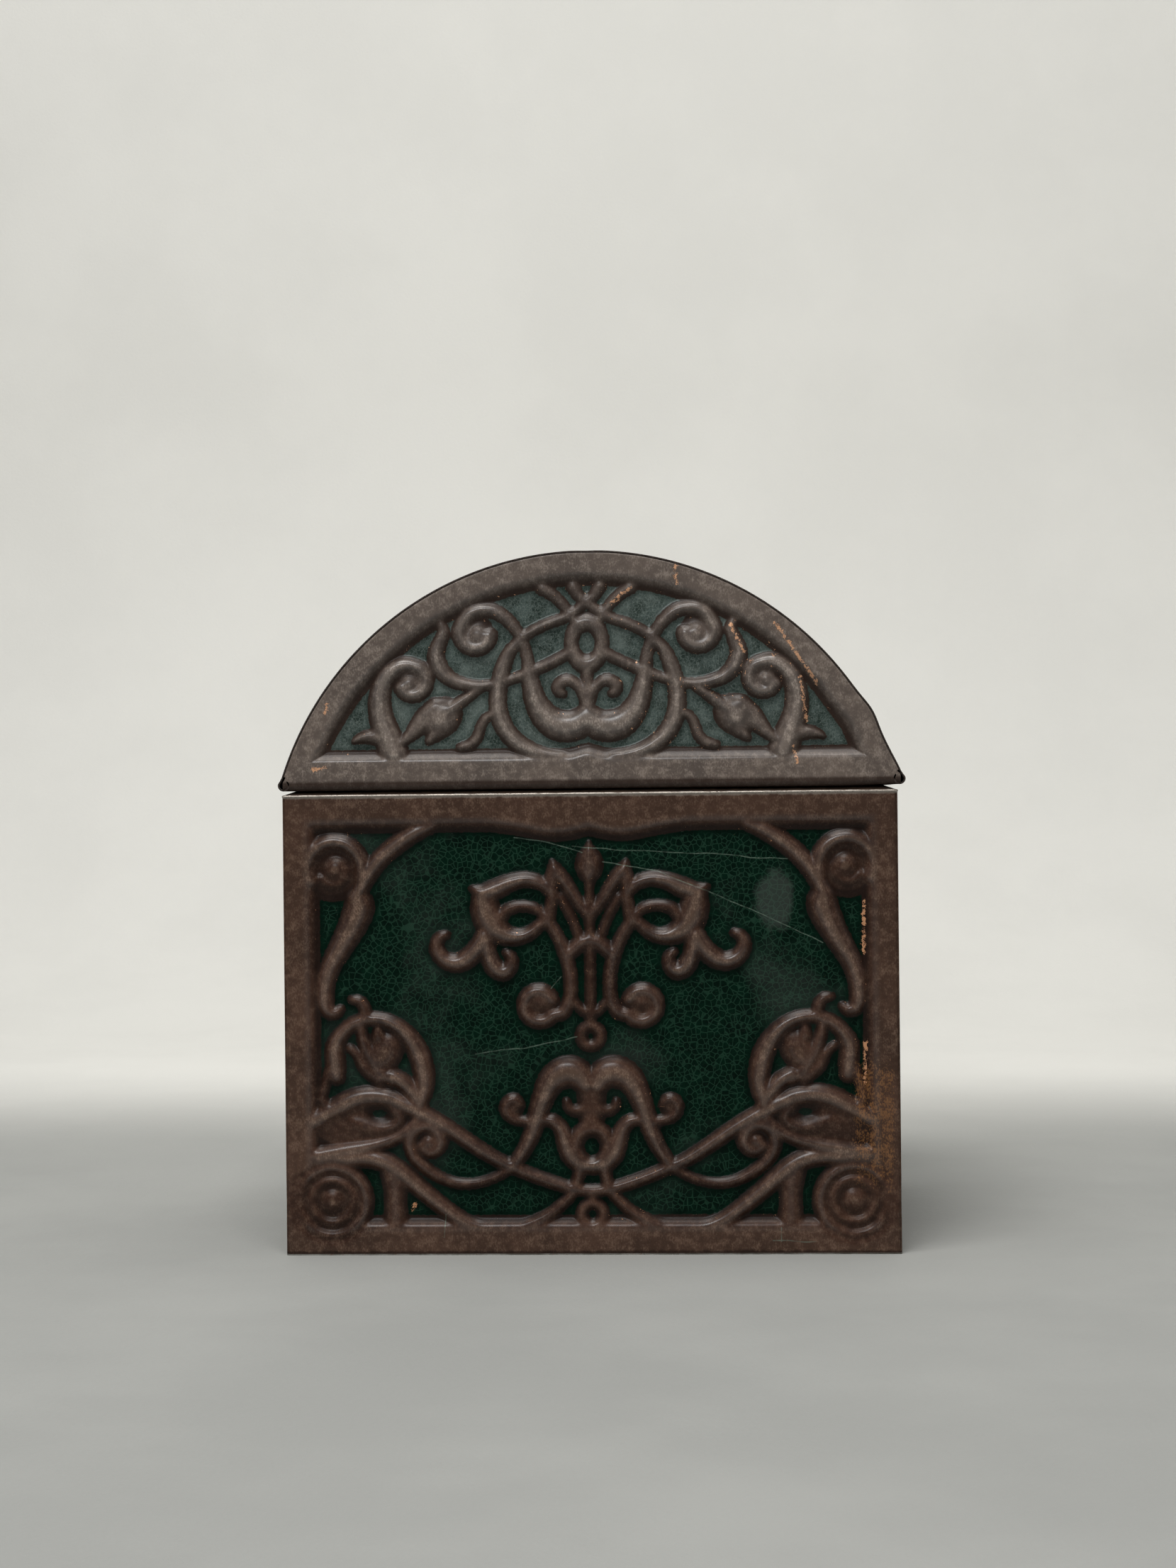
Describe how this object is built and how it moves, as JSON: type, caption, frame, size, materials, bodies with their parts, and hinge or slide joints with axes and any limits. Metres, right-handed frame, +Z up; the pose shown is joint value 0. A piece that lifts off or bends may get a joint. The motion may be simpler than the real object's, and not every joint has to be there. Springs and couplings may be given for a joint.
{
  "type": "domed casket",
  "caption": "Domed tinplate casket with pressed scroll panels, a neck collar and a lid hinged on a wire along its back edge; holds small church or keepsake items.",
  "frame": {"origin": "middle of the underside of the base's hem, on the surface that the casket stands on", "axes": "+X to the right of someone facing the front, +Y to the back where the hinge is, +Z up"},
  "size_m": [0.1824, 0.13, 0.2058],
  "materials": {
    "box_lacquer": "speckled bronze-brown lacquer on the raised relief, dark bottle-green crackle lacquer in the fields",
    "lid_lacquer": "worn bronze-brown lacquer on the raised relief, dark green crackle lacquer in the fields",
    "dark_lacquer": "thin dark lacquer, worn to bright tin along the fold",
    "tinplate": "dull tinplate",
    "steel_wire": "drawn steel wire"
  },
  "bodies": {
    "box": {"body_front_panel": "box_lacquer", "body_back_panel": "box_lacquer", "body_left_panel": "box_lacquer", "body_right_panel": "box_lacquer", "base_plate": "tinplate", "neck_collar": "dark_lacquer", "hinge_strap_left": "tinplate", "hinge_strap_right": "tinplate"},
    "lid": {"lid_vault": "lid_lacquer", "lid_front_lunette": "lid_lacquer", "lid_back_lunette": "lid_lacquer", "hinge_wire": "steel_wire"}
  },
  "joints": [
    {"name": "lid_hinge", "type": "hinge", "parent": "box", "child": "lid", "pos_m": [0, 0.06375, 0.13742], "axis": [-1, 0, 0], "range_deg": [0, 120]}
  ]
}
